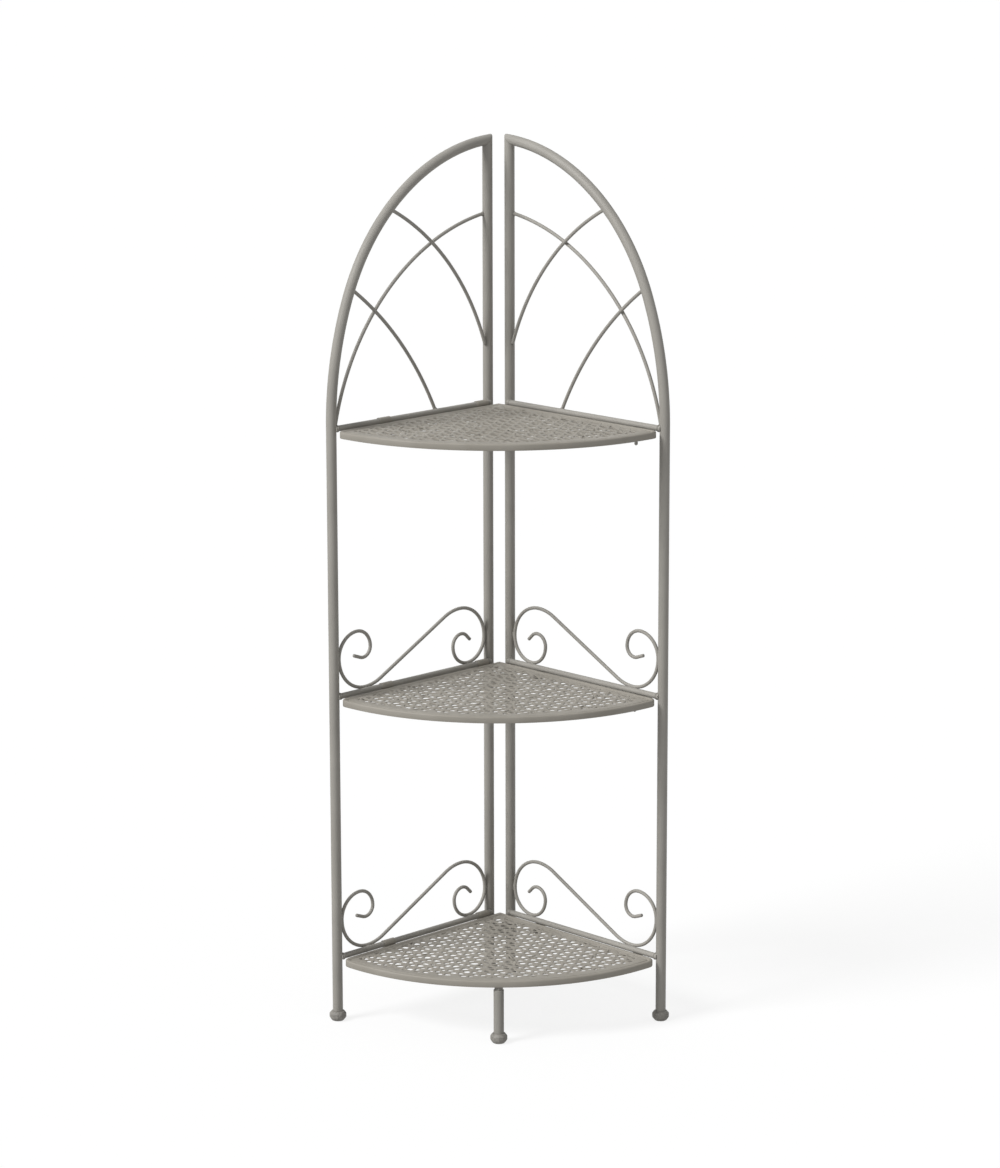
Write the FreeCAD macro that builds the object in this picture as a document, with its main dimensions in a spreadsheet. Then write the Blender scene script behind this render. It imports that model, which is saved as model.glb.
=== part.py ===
import FreeCAD, Part
import math
import os

# Folding corner shelf of painted steel tube, rod and pressed sheet.
# Row frame: +Z up, +X to the right as seen from the front, the wall corner at the back (+Y).
# A frame's own directions: u runs along the wall from its back upright to its leg,
# n points from the frame's plane into the corner, and z is up.

doc = FreeCAD.newDocument("corner_shelf")
sheet = doc.addObject("Spreadsheet::Sheet", "sizes")

# Driving dimensions in millimetres, and turns in degrees
SIZES = {
    # the two frames
    "overall_height": 1110,
    "wall_reach": 271.5,
    "upright_spacing": 28,
    "tube_diameter": 13,
    "tube_wall": 1.2,
    "rail_diameter": 7.5,
    "wire_diameter": 4,
    "bottom_rail_height": 85,
    "arch_room": 343,
    "weld_gap": 0.1,
    "weld_sink": 0.2,
    # the arch over the top shelf
    "shoulder_radius": 430,
    "shoulder_turn": 22,
    "crown_radius": 277,
    # the three wires in the arch: where each starts out along the frame, and the heights
    # of its two ends above the top rail, as shares; then how far it turns
    "inner_wire_place_share": 0,
    "inner_wire_start_share": 0.1547,
    "inner_wire_end_share": 0.7837,
    "inner_wire_turn": 49.13,
    "long_wire_place_share": 0,
    "long_wire_start_share": 0.7245,
    "long_wire_end_share": 0.0032,
    "long_wire_turn": 70.5,
    "side_wire_place_share": 0.35,
    "side_wire_start_share": 0,
    "side_wire_end_share": 0.5071,
    "side_wire_turn": 29.71,
    # the scrolls
    "scroll_shoulder_radius": 59,
    "scroll_outer_radius": 43,
    "scroll_lower_radius": 31,
    "scroll_inner_radius": 25,
    "curl_radius": 15,
    "curl_end_radius": 13,
    # the perforated shelves
    "sheet_thickness": 1.2,
    "shelf_drop": 2.2,
    "rim_height": 8.2,
    "front_reach": 287,
    "front_radius": 269,
    "tip_round": 12,
    "border_width": 19,
    "hole_length": 20,
    "hole_width": 14,
    "hole_spacing": 29,
    # the shelf hinges
    "swing_clearance": 0.35,
    "sleeve_length": 19,
    "sleeve_wall": 1,
    "sleeve_play": 0.2,
    "sleeve_tongue": 18,
    "back_sleeve_place": 17.5,
    "front_sleeve_place": 187,
    # lock pins, keepers and rest tabs
    "pin_diameter": 3.5,
    "pin_bulb_diameter": 4.4,
    "pin_neck_depth": 19,
    "pin_end_depth": 24,
    "pin_end_easing": 1,
    "pin_neck_easing": 0.4,
    "pin_from_leg": 36,
    "pin_from_rim": 3.4,
    "pin_play": 1.6,
    "keeper_width": 16,
    "keeper_thickness": 1.5,
    "keeper_lip": 6,
    "rest_tab_place": 60,
    "rest_gap": 0.3,
    # hinge links between the back uprights
    "link_height": 16,
    "link_wall": 1.4,
    "link_play": 0.15,
    "link_depth": 25,
    "link_web": 3,
    # feet and the screw-in front leg
    "foot_diameter": 20.6,
    "foot_height": 15.5,
    "foot_sole": 5,
    "foot_sole_easing": 4,
    "foot_top_easing": 2.6,
    "foot_play": 0.1,
    "nut_diameter": 12,
    "nut_reach": 4.6,
    "nut_gap": 0.3,
    "stud_diameter": 8,
    "stud_play": 0.05,
    "plug_length": 14,
    # flats round the bent and straight pieces, and steps in their bends
    "tube_sides": 16,
    "bore_sides": 12,
    "wire_sides": 6,
    "nut_sides": 6,
    "pin_sides": 8,
    "degrees_per_step": 22.5,
    "length_per_step": 40,
    # the cutting tools: how far they stand past a face, and the block that cuts the mitres
    "overrun": 5,
    "mitre_block": 52,
}
for row, (alias, value) in enumerate(SIZES.items(), start=1):
    sheet.set("A%d" % row, alias)
    sheet.set("B%d" % row, str(value))
    sheet.setAlias("B%d" % row, alias)
doc.recompute()


def size(alias):
    """The plain number in a cell of the sheet."""
    return float(sheet.get(alias))


# Sizes worked out from the driving ones
UP = FreeCAD.Vector(0, 0, 1)
ALONG = FreeCAD.Vector(1, 0, 0)
ACROSS = FreeCAD.Vector(0, 1, 0)
HALF_CORNER = 45
FULL_TURN = 360
DIAGONAL = math.sqrt(0.5)
RIGHT_ANGLE = 90

overrun = size("overrun")
reach = size("wall_reach")
tube_radius = size("tube_diameter") / 2
rail_radius = size("rail_diameter") / 2
wire_radius = size("wire_diameter") / 2
sheet_thickness = size("sheet_thickness")
foot_radius = size("foot_diameter") / 2

# A lifted shelf stands just clear of the uprights, so the rails lie that much inside the frame
rail_inset = tube_radius + size("swing_clearance") - size("shelf_drop")
shelf_inset = rail_inset + rail_radius + size("swing_clearance")
rim_depth = size("shelf_drop") + size("rim_height")
sheet_underside = size("shelf_drop") + sheet_thickness

LEVELS = ("bottom", "middle", "top")
top_rail_height = size("overall_height") - size("arch_room")
shelf_spacing = (top_rail_height - size("bottom_rail_height")) / (len(LEVELS) - 1)
rail_heights = {}
for step, level in enumerate(LEVELS):
    rail_heights[level] = size("bottom_rail_height") + step * shelf_spacing

# The front leg hangs from a nut that lies just behind the front rim
nut_radius = size("nut_diameter") / 2
leg_reach = size("front_reach") - sheet_thickness - nut_radius - size("nut_gap")
# Half way from the front foot to the back feet is the row's origin
back_line = leg_reach / 2

SIDES = {"left": 1, "right": -1}
frame_places = {}
for side_name, side in SIDES.items():
    turn = -RIGHT_ANGLE - side * HALF_CORNER
    foot_of_upright = FreeCAD.Vector(-side * size("upright_spacing") / 2, back_line, 0)
    frame_places[side_name] = FreeCAD.Placement(foot_of_upright, FreeCAD.Rotation(UP, turn))

sub_parts = []


def keep(thing, label, placement=None):
    """Names a finished sub-part and puts it in its place in the row."""
    thing.Label = label
    if placement is not None:
        thing.Placement = placement
    sub_parts.append(thing)
    return thing


def bind(thing, **formulas):
    """Ties properties of a primitive to formulas in the sheet's names."""
    for name, formula in formulas.items():
        thing.setExpression(name, formula)
    return thing


def in_sheet(formula):
    """Writes a formula of aliases so that another object can read it."""
    words = formula.split(" ")
    return " ".join("sizes." + word if word in SIZES else word for word in words)


def cylinder(name, radius, height, base, direction=UP):
    """A solid rod: radius and height are formulas, base is the centre of its first face."""
    rod = doc.addObject("Part::Cylinder", name)
    bind(rod, Radius=in_sheet(radius), Height=in_sheet(height))
    rod.Placement = FreeCAD.Placement(base, FreeCAD.Rotation(UP, direction))
    return rod


def box(name, length, width, height, placement):
    """A block whose three sizes are formulas."""
    block = doc.addObject("Part::Box", name)
    bind(block, Length=in_sheet(length), Width=in_sheet(width), Height=in_sheet(height))
    block.Placement = placement
    return block


def cut(name, base, *tools):
    """Takes each tool away from the base in turn."""
    for number, tool in enumerate(tools, start=1):
        step = doc.addObject("Part::Cut", "%s_cut%d" % (name, number))
        step.Base = base
        step.Tool = tool
        base = step
    return base


def fuse(name, *pieces):
    """Joins pieces that meet, or groups pieces that do not."""
    whole = doc.addObject("Part::MultiFuse", name + "_joined")
    whole.Shapes = list(pieces)
    return whole


def new_body(name):
    return doc.addObject("PartDesign::Body", name)


def sketch_on(body, role, name):
    """A sketch on one of the body's own origin planes."""
    drawing = body.newObject("Sketcher::SketchObject", name)
    plane = [item for item in body.Origin.OriginFeatures if item.Role == role][0]
    drawing.AttachmentSupport = [(plane, "")]
    drawing.MapMode = "FlatFace"
    return drawing


def add_line(drawing, start, end):
    line = Part.LineSegment(FreeCAD.Vector(*start, 0), FreeCAD.Vector(*end, 0))
    drawing.addGeometry(line, False)


def add_arc(drawing, centre, radius, first, last):
    """An arc that runs counter-clockwise between two angles in degrees."""
    circle = Part.Circle(FreeCAD.Vector(*centre, 0), UP, radius)
    arc = Part.ArcOfCircle(circle, math.radians(first), math.radians(last))
    drawing.addGeometry(arc, False)


def add_loop(drawing, points):
    """A closed outline of straight lines."""
    for start, end in zip(points, points[1:] + points[:1]):
        add_line(drawing, start, end)


def route_stations(moves):
    """Points along a bent rod's centre line and the heading at each, in degrees from x.

    The line lies in x and z and sets off upwards from the origin. A move is (length,)
    for a straight run or (radius, degrees) for a bend, where positive degrees turn
    towards x and negative ones away from it.
    """
    x, z, heading = 0.0, 0.0, float(RIGHT_ANGLE)
    stations = [(x, z, heading)]
    for move in moves:
        if len(move) == 1:
            x += move[0] * math.cos(math.radians(heading))
            z += move[0] * math.sin(math.radians(heading))
            stations.append((x, z, heading))
            continue
        radius, degrees = move
        arc = radius * math.radians(abs(degrees))
        steps = math.ceil(max(abs(degrees) / size("degrees_per_step"), arc / size("length_per_step")))
        outward = heading + math.copysign(RIGHT_ANGLE, degrees)
        centre_x = x - radius * math.cos(math.radians(outward))
        centre_z = z - radius * math.sin(math.radians(outward))
        for step in range(1, steps + 1):
            bearing = outward - degrees * step / steps
            x = centre_x + radius * math.cos(math.radians(bearing))
            z = centre_z + radius * math.sin(math.radians(bearing))
            stations.append((x, z, heading - degrees * step / steps))
        heading -= degrees
    return stations


def loft(name, sections):
    """A solid with flat sides through a row of outlines."""
    solid = doc.addObject("Part::Loft", name)
    solid.Sections = sections
    solid.Solid = True
    solid.Ruled = True
    return solid


def many_sided(name, formula, sides, placement):
    """A regular outline whose corners lie on a circle; formula gives the circle's radius."""
    outline = doc.addObject("Part::RegularPolygon", name)
    bind(outline, Circumradius=in_sheet(formula), Polygon=in_sheet(sides))
    outline.Placement = placement
    return outline


def rod_sections(name, moves, formula, sides):
    """The outlines of a bent rod, square to its centre line at every station."""
    sections = []
    for number, (x, z, heading) in enumerate(route_stations(moves)):
        square = FreeCAD.Rotation(ACROSS, RIGHT_ANGLE - heading)
        place = FreeCAD.Placement(FreeCAD.Vector(x, 0, z), square)
        sections.append(many_sided("%s_%d" % (name, number), formula, sides, place))
    return sections


def over_corners(formula, sides):
    """The radius over the corners of a many-sided bore whose flats lie at the given radius."""
    return "( %s ) / %.6f" % (formula, math.cos(math.pi / size(sides)))


def prism(name, formula, sides, height, placement):
    """A straight many-sided rod; formula gives the radius over its corners."""
    rod = doc.addObject("Part::Prism", name)
    bind(rod, Circumradius=in_sheet(formula), Polygon=in_sheet(sides), Height=in_sheet(height))
    rod.Placement = placement
    return rod


def eased(name, rod, bottom_easing, top_easing):
    """The same rod with its end edges planed off."""
    doc.recompute()
    lowest = rod.Shape.BoundBox.ZMin
    highest = rod.Shape.BoundBox.ZMax
    middle = (lowest + highest) / 2
    edges = []
    for number, edge in enumerate(rod.Shape.Edges, start=1):
        first, last = [vertex.Point.z for vertex in edge.Vertexes]
        if first < middle and last < middle:
            edges.append((number, bottom_easing, bottom_easing))
        elif first > middle and last > middle:
            edges.append((number, top_easing, top_easing))
    planed = doc.addObject("Part::Chamfer", name)
    planed.Base = rod
    planed.Edges = edges
    return planed


# The arch: upward from the leg, round the shoulder and the crown to the back upright

def arch_figures():
    """Where the arch starts to bend, the crown's turn and centre, its slope, and the apex."""
    shoulder = math.radians(size("shoulder_turn"))
    shoulder_end = reach - size("shoulder_radius") * (1 - math.cos(shoulder))
    crown_out = shoulder_end - size("crown_radius") * math.cos(shoulder)
    slope = math.asin(-crown_out / size("crown_radius"))
    rise = size("shoulder_radius") * math.sin(shoulder)
    rise += size("crown_radius") * (math.cos(slope) - math.sin(shoulder))
    apex = size("overall_height") - tube_radius / math.cos(slope) - tube_radius * math.tan(slope)
    crown_turn = RIGHT_ANGLE - size("shoulder_turn") - math.degrees(slope)
    crown_height = apex - size("crown_radius") * math.cos(slope)
    centre = (crown_out, crown_height)
    return apex - rise, crown_turn, centre, math.degrees(slope), apex


arch_start, crown_turn, crown_centre, apex_slope, apex_height = arch_figures()
tube_foot = size("foot_sole")


def arch_reach(height):
    """How far from the upright the arch's centre line lies at a height."""
    if height <= arch_start:
        return reach
    shoulder_top = arch_start + size("shoulder_radius") * math.sin(math.radians(size("shoulder_turn")))
    if height < shoulder_top:
        bend = size("shoulder_radius")
        return reach - bend + math.sqrt(bend ** 2 - (height - arch_start) ** 2)
    return crown_centre[0] + math.sqrt(size("crown_radius") ** 2 - (height - crown_centre[1]) ** 2)


def arch_route(tail):
    """The leg and arch as one bent tube, with a tail past the apex for the mitre."""
    return [(arch_start - tube_foot,),
            (size("shoulder_radius"), -size("shoulder_turn")),
            (size("crown_radius"), -crown_turn),
            (tail,)]


def leg_start():
    return FreeCAD.Placement(FreeCAD.Vector(reach, 0, tube_foot), FreeCAD.Rotation())


def mitre_block(name, over_arch):
    """A block with one face on the mitre; it lies over the arch or over the upright."""
    half = size("mitre_block") / 2
    tilt = (RIGHT_ANGLE + apex_slope) / 2
    turn = FreeCAD.Rotation(ACROSS, tilt if over_arch else tilt - 2 * RIGHT_ANGLE)
    corner = turn.multVec(FreeCAD.Vector(-half, -half, 0))
    centre = FreeCAD.Vector(0, 0, apex_height)
    return box(name, "mitre_block", "mitre_block", "mitre_block",
               FreeCAD.Placement(centre + corner, turn))


def tube_envelope(name, u):
    """The room that an upright or leg takes, for shaping what is welded to it."""
    return cylinder(name, "tube_diameter / 2", "overall_height", FreeCAD.Vector(u, 0, 0))


def rail_envelope(name, level, side):
    """The room that a rail takes."""
    base = FreeCAD.Vector(-overrun, side * rail_inset, rail_heights[level])
    return cylinder(name, "rail_diameter / 2", "wall_reach + 2 * overrun", base, ALONG)


OUTSIDE = "tube_diameter / 2"
INSIDE = "tube_diameter / 2 - tube_wall"
mitre_tail = 2 * size("tube_diameter")
arch_outside = rod_sections("arch_outside", arch_route(mitre_tail), OUTSIDE, "tube_sides")
arch_inside = rod_sections("arch_inside", arch_route(mitre_tail), INSIDE, "bore_sides")


def make_tubes(side_name):
    """The leg with its arch, and the back upright, mitred together at the apex."""
    place = frame_places[side_name]
    arch = loft(side_name + "_arch_outside", arch_outside)
    arch.Placement = leg_start()
    hollow = loft(side_name + "_arch_inside", arch_inside)
    hollow.Placement = leg_start()
    mitre = mitre_block(side_name + "_arch_mitre", False)
    keep(cut(side_name + "_arch", arch, hollow, mitre), side_name + "_leg_arch", place)
    low = FreeCAD.Vector(0, 0, tube_foot)
    upright = cylinder(side_name + "_upright_rod", OUTSIDE, "overall_height", low)
    bore = cylinder(side_name + "_upright_bore", INSIDE, "overall_height", low)
    mitre = mitre_block(side_name + "_upright_mitre", True)
    keep(cut(side_name + "_upright", upright, bore, mitre), side_name + "_back_upright", place)


def make_rails(side_name, side):
    """Three rods between the upright and the leg, coped round both tubes."""
    for level in LEVELS:
        name = "%s_%s_rail" % (side_name, level)
        base = FreeCAD.Vector(0, side * rail_inset, rail_heights[level])
        rod = cylinder(name + "_rod", "rail_diameter / 2", "wall_reach", base, ALONG)
        coped = cut(name, rod, tube_envelope(name + "_at_upright", 0),
                    tube_envelope(name + "_at_leg", reach))
        keep(coped, name, frame_places[side_name])


def wire_figures(wire, beside_tube):
    """A wire's first point, its heading there and its bend, from where its two ends lie."""
    room = apex_height - top_rail_height
    first = (reach * size(wire + "_place_share"), room * size(wire + "_start_share"))
    last_height = room * size(wire + "_end_share")
    last_reach = arch_reach(top_rail_height + last_height) - beside_tube
    across = last_reach - first[0]
    rise = last_height - first[1]
    half_turn = size(wire + "_turn") / 2
    radius = math.hypot(across, rise) / 2 / math.sin(math.radians(half_turn))
    heading = math.degrees(math.atan2(rise, across)) + half_turn
    return first, heading, radius


# The long wire's end lies along the leg, the other two run into the arch
wires = {
    "inner_wire": wire_figures("inner_wire", 0),
    "long_wire": wire_figures("long_wire", tube_radius + wire_radius - size("weld_sink")),
    "side_wire": wire_figures("side_wire", 0),
}
wire_sections = {}
for wire, (first, heading, radius) in wires.items():
    bend = (radius, size(wire + "_turn"))
    wire_sections[wire] = rod_sections(wire, [bend], "wire_diameter / 2", "wire_sides")


def make_wires(side_name, side):
    """Three curved wires in the arch; the long one passes behind the other two."""
    layer = wire_radius + size("weld_gap") / 2
    layers = {"inner_wire": layer, "long_wire": -layer, "side_wire": layer}
    for wire, (first, heading, radius) in wires.items():
        name = "%s_%s" % (side_name, wire)
        rod = loft(name + "_rod", wire_sections[wire])
        lean = FreeCAD.Rotation(ACROSS, RIGHT_ANGLE - heading)
        start = FreeCAD.Vector(first[0], side * layers[wire], top_rail_height + first[1])
        rod.Placement = FreeCAD.Placement(start, lean)
        arch = loft(name + "_at_arch", arch_outside)
        arch.Placement = leg_start()
        welded = cut(name, rod, arch, tube_envelope(name + "_at_upright", 0),
                     rail_envelope(name + "_at_rail", "top", side))
        keep(welded, name, frame_places[side_name])


def scroll_figures():
    """The route of a scroll, and where its inner end starts above the rail's axis."""
    lower = size("scroll_lower_radius")
    inner = size("scroll_inner_radius")
    outer = size("scroll_outer_radius")
    shoulder = size("scroll_shoulder_radius")
    curl = size("curl_radius")
    curl_end = size("curl_end_radius")
    # The wire lies against the upright at one end, the leg at the other and the rail below
    tangent_gap = wire_radius + size("weld_gap")
    left = tube_radius + tangent_gap
    bottom = math.sqrt((rail_radius + tangent_gap) ** 2 - rail_inset ** 2)
    start = (left + lower + inner - curl - curl_end, bottom + inner + curl - curl_end)
    # The straight middle run touches both shoulders and passes through the scroll's centre
    across = reach / 2 - (left + outer)
    drop = shoulder - (lower + outer) / 2
    span = math.hypot(across, drop)
    turn = RIGHT_ANGLE - math.degrees(math.atan2(drop, across) + math.acos(shoulder / span))
    run = 2 * math.sqrt(span ** 2 - shoulder ** 2)
    lobe = [(curl_end, RIGHT_ANGLE), (curl, RIGHT_ANGLE), (inner, RIGHT_ANGLE),
            (lower, RIGHT_ANGLE), (outer, RIGHT_ANGLE), (shoulder, turn)]
    other_lobe = [(radius, -degrees) for radius, degrees in reversed(lobe)]
    return start, lobe + [(run,)] + other_lobe


scroll_start, scroll_route = scroll_figures()
scroll_sections = rod_sections("scroll", scroll_route, "wire_diameter / 2", "wire_sides")


def make_scrolls(side_name):
    """One scroll on the bottom rail and one on the middle rail."""
    for level in ("bottom", "middle"):
        name = "%s_%s_scroll" % (side_name, level)
        corner = FreeCAD.Vector(scroll_start[0], 0, rail_heights[level] + scroll_start[1])
        local = FreeCAD.Placement(corner, FreeCAD.Rotation())
        keep(loft(name, scroll_sections), name, frame_places[side_name].multiply(local))


def make_foot(name, place):
    """A cup foot with eased edges and a socket for the tube."""
    blank = prism(name + "_blank", "foot_diameter / 2", "tube_sides", "foot_height",
                  FreeCAD.Placement())
    cup = eased(name + "_cup", blank, size("foot_sole_easing"), size("foot_top_easing"))
    base = FreeCAD.Placement(FreeCAD.Vector(0, 0, tube_foot), FreeCAD.Rotation())
    socket = prism(name + "_socket", over_corners("tube_diameter / 2 + foot_play", "tube_sides"),
                   "tube_sides", "foot_height", base)
    keep(cut(name, cup, socket), name, place)


def make_feet(side_name):
    """Cup feet under the leg and the back upright."""
    for label, u in (("side_foot", reach), ("back_foot", 0)):
        local = FreeCAD.Placement(FreeCAD.Vector(u, 0, 0), FreeCAD.Rotation())
        make_foot("%s_%s" % (side_name, label), frame_places[side_name].multiply(local))


for side_name, side in SIDES.items():
    make_tubes(side_name)
    make_rails(side_name, side)
    make_wires(side_name, side)
    make_scrolls(side_name)
    make_feet(side_name)


# Double-ring links that hold the two back uprights together and let the frames fold

def make_link(level):
    name = level + "_hinge_link"
    low = rail_heights[level] - size("link_depth") - size("link_height") / 2
    half = size("upright_spacing") / 2
    bore = over_corners("tube_diameter / 2 + link_play", "bore_sides")
    rings = []
    bores = []
    for hand in (-1, 1):
        axis = FreeCAD.Placement(FreeCAD.Vector(hand * half, 0, low), FreeCAD.Rotation())
        rings.append(prism("%s_ring%d" % (name, hand + 2), bore + " + link_wall",
                           "bore_sides", "link_height", axis))
        bores.append(prism("%s_bore%d" % (name, hand + 2), bore, "bore_sides", "link_height", axis))
    web_corner = FreeCAD.Vector(-half, -size("link_web") / 2, low)
    web = box(name + "_web", "upright_spacing", "link_web", "link_height",
              FreeCAD.Placement(web_corner, FreeCAD.Rotation()))
    link = cut(name, fuse(name, rings[0], rings[1], web), *bores)
    keep(link, name, FreeCAD.Placement(FreeCAD.Vector(0, back_line, 0), FreeCAD.Rotation()))


for level in LEVELS:
    make_link(level)


# The shelves: quarter pans with a turned-down rim, straight along both rails and bowed in front

def pan_point(a, b, hand):
    """A plan point from distances along (a) and in from (b) one side edge's direction."""
    return (hand * DIAGONAL * (a - b), -DIAGONAL * (a + b))


# The pan's side edges in from the row's middle line, and how far back its bow's centre lies
upright_offset = size("upright_spacing") / 2 * DIAGONAL
pan_edge = shelf_inset - upright_offset
bow_setback = (size("front_reach") - size("front_radius")) * DIAGONAL
bow_centre = pan_point(bow_setback, bow_setback, 1)


def draw_pan(drawing, inset):
    """Two straight edges, two rounded tips and the bowed front, drawn inside the rim by inset."""
    edge = pan_edge + inset
    bow_radius = size("front_radius") - inset
    tip_radius = size("tip_round") - inset
    tip_b = edge + tip_radius
    tip_a = bow_setback + math.sqrt((bow_radius - tip_radius) ** 2 - (tip_b - bow_setback) ** 2)
    for hand in (-1, 1):
        add_line(drawing, pan_point(edge, edge, hand), pan_point(tip_a, edge, hand))
    tips = {hand: pan_point(tip_a, tip_b, hand) for hand in (-1, 1)}
    meets = {}
    for hand, tip in tips.items():
        meets[hand] = math.degrees(math.atan2(tip[1] - bow_centre[1], tip[0] - bow_centre[0]))
    left_meet = meets[-1] % FULL_TURN
    right_meet = meets[1] % FULL_TURN
    add_arc(drawing, bow_centre, bow_radius, left_meet, right_meet)
    add_arc(drawing, tips[-1], tip_radius, RIGHT_ANGLE + HALF_CORNER, left_meet)
    add_arc(drawing, tips[1], tip_radius, right_meet, FULL_TURN + HALF_CORNER)


def fan_holes():
    """Outlines of the piercings: lozenges in rows that fan out from the back corner."""
    edge = pan_edge + size("border_width")
    bow_radius = size("front_radius") - size("border_width")
    corner = pan_point(edge, edge, 1)
    spacing = size("hole_spacing")
    half_length = size("hole_length") / 2
    half_width = size("hole_width") / 2
    rows = int((corner[1] - bow_centre[1] + bow_radius) / spacing)
    shape_shares = ((1, 0), (0, 1), (-1, 0), (0, -1))
    outlines = []
    for row in range(1, rows + 1):
        row_radius = row * spacing - half_length / 2
        quarter = row_radius * math.pi / 2
        count = max(1, int((quarter - half_width) / spacing))
        step = RIGHT_ANGLE / count
        for number in range(count):
            bearing = math.radians(-RIGHT_ANGLE - HALF_CORNER + (number + 0.5) * step)
            outward = (math.cos(bearing), math.sin(bearing))
            beside = (-outward[1], outward[0])
            centre = (corner[0] + row_radius * outward[0], corner[1] + row_radius * outward[1])
            far = math.hypot(centre[0], centre[1] - bow_centre[1])
            if far + half_length > bow_radius:
                continue
            outlines.append([(centre[0] + long_share * half_length * outward[0]
                              + wide_share * half_width * beside[0],
                              centre[1] + long_share * half_length * outward[1]
                              + wide_share * half_width * beside[1])
                             for long_share, wide_share in shape_shares])
    return outlines


def sleeve_notches():
    """Where the left edge is cut back for the hinge sleeves."""
    deep = pan_edge + sheet_thickness + size("sleeve_play")
    outlines = []
    for place in ("back_sleeve_place", "front_sleeve_place"):
        half = size("sleeve_length") / 2 + size("sleeve_play")
        low = upright_offset + size(place) - half
        high = upright_offset + size(place) + half
        outside = pan_edge - overrun
        corners = ((low, outside), (high, outside), (high, deep), (low, deep))
        outlines.append([pan_point(a, b, -1) for a, b in corners])
    return outlines


def pocket_up(body, drawing, name, depth=None):
    """Cuts upwards from the rim's lower edge, to a depth or right through."""
    doc.recompute()
    hollow = body.newObject("PartDesign::Pocket", name)
    hollow.Profile = drawing
    hollow.Reversed = True
    if depth is None:
        hollow.Type = "ThroughAll"
    else:
        hollow.setExpression("Length", in_sheet(depth))
    body.Tip = hollow
    doc.recompute()
    return hollow


def make_pan(level):
    """A pressed pan, pierced all over, hung a little below its rails."""
    name = level + "_shelf"
    body = new_body(name + "_pan")
    outline = sketch_on(body, "XY_Plane", name + "_outline")
    draw_pan(outline, 0)
    doc.recompute()
    blank = body.newObject("PartDesign::Pad", name + "_blank")
    blank.Profile = outline
    blank.setExpression("Length", in_sheet("rim_height"))
    inside = sketch_on(body, "XY_Plane", name + "_inside")
    draw_pan(inside, sheet_thickness)
    pocket_up(body, inside, name + "_hollow", "rim_height - sheet_thickness")
    piercings = sketch_on(body, "XY_Plane", name + "_piercings")
    for hole in fan_holes():
        add_loop(piercings, hole)
    pocket_up(body, piercings, name + "_pierced")
    notches = sketch_on(body, "XY_Plane", name + "_notches")
    for notch in sleeve_notches():
        add_loop(notches, notch)
    pocket_up(body, notches, name + "_notched")
    rim_foot = FreeCAD.Vector(0, back_line, rail_heights[level] - rim_depth)
    keep(body, name, FreeCAD.Placement(rim_foot, FreeCAD.Rotation()))


def make_sleeves(level):
    """Two rolled sleeves round the left rail, each with a tongue under the shelf."""
    name = level + "_hinge_sleeves"
    made = []
    axis_height = rail_heights[level]
    bore = over_corners("rail_diameter / 2 + sleeve_play", "bore_sides")
    for place in ("back_sleeve_place", "front_sleeve_place"):
        piece = "%s_%s" % (name, place[:-len("_sleeve_place")])
        start = size(place) - size("sleeve_length") / 2
        axis = FreeCAD.Placement(FreeCAD.Vector(start, rail_inset, axis_height),
                                 FreeCAD.Rotation(UP, ALONG))
        ring = prism(piece + "_ring", bore + " + sleeve_wall", "bore_sides", "sleeve_length", axis)
        tongue_foot = axis_height - sheet_underside - sheet_thickness
        tongue_corner = FreeCAD.Vector(start, rail_inset, tongue_foot)
        tongue = box(piece + "_tongue", "sleeve_length", "sleeve_tongue", "sheet_thickness",
                     FreeCAD.Placement(tongue_corner, FreeCAD.Rotation()))
        hollow = prism(piece + "_bore", bore, "bore_sides", "sleeve_length", axis)
        made.append(cut(piece, fuse(piece, ring, tongue), hollow))
    keep(fuse(name, *made), name, frame_places["left"])


pin_place = reach - size("pin_from_leg")
pin_inset = shelf_inset + sheet_thickness + size("pin_from_rim")


def make_pin(level):
    """A pin welded under the shelf, with a thicker rounded end."""
    name = level + "_lock_pin"
    neck = size("pin_neck_depth")
    neck_point = FreeCAD.Placement(UP * -neck, FreeCAD.Rotation())
    end_point = FreeCAD.Placement(UP * -size("pin_end_depth"), FreeCAD.Rotation())
    shank = prism(name + "_shank", "pin_diameter / 2", "pin_sides",
                  "pin_neck_depth - shelf_drop - sheet_thickness", neck_point)
    blank = prism(name + "_blank", "pin_bulb_diameter / 2", "pin_sides",
                  "pin_end_depth - pin_neck_depth", end_point)
    bulb = eased(name + "_bulb", blank, size("pin_end_easing"), size("pin_neck_easing"))
    local = FreeCAD.Placement(FreeCAD.Vector(pin_place, -pin_inset, rail_heights[level]),
                              FreeCAD.Rotation())
    keep(fuse(name, shank, bulb), name, frame_places["right"].multiply(local))


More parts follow.
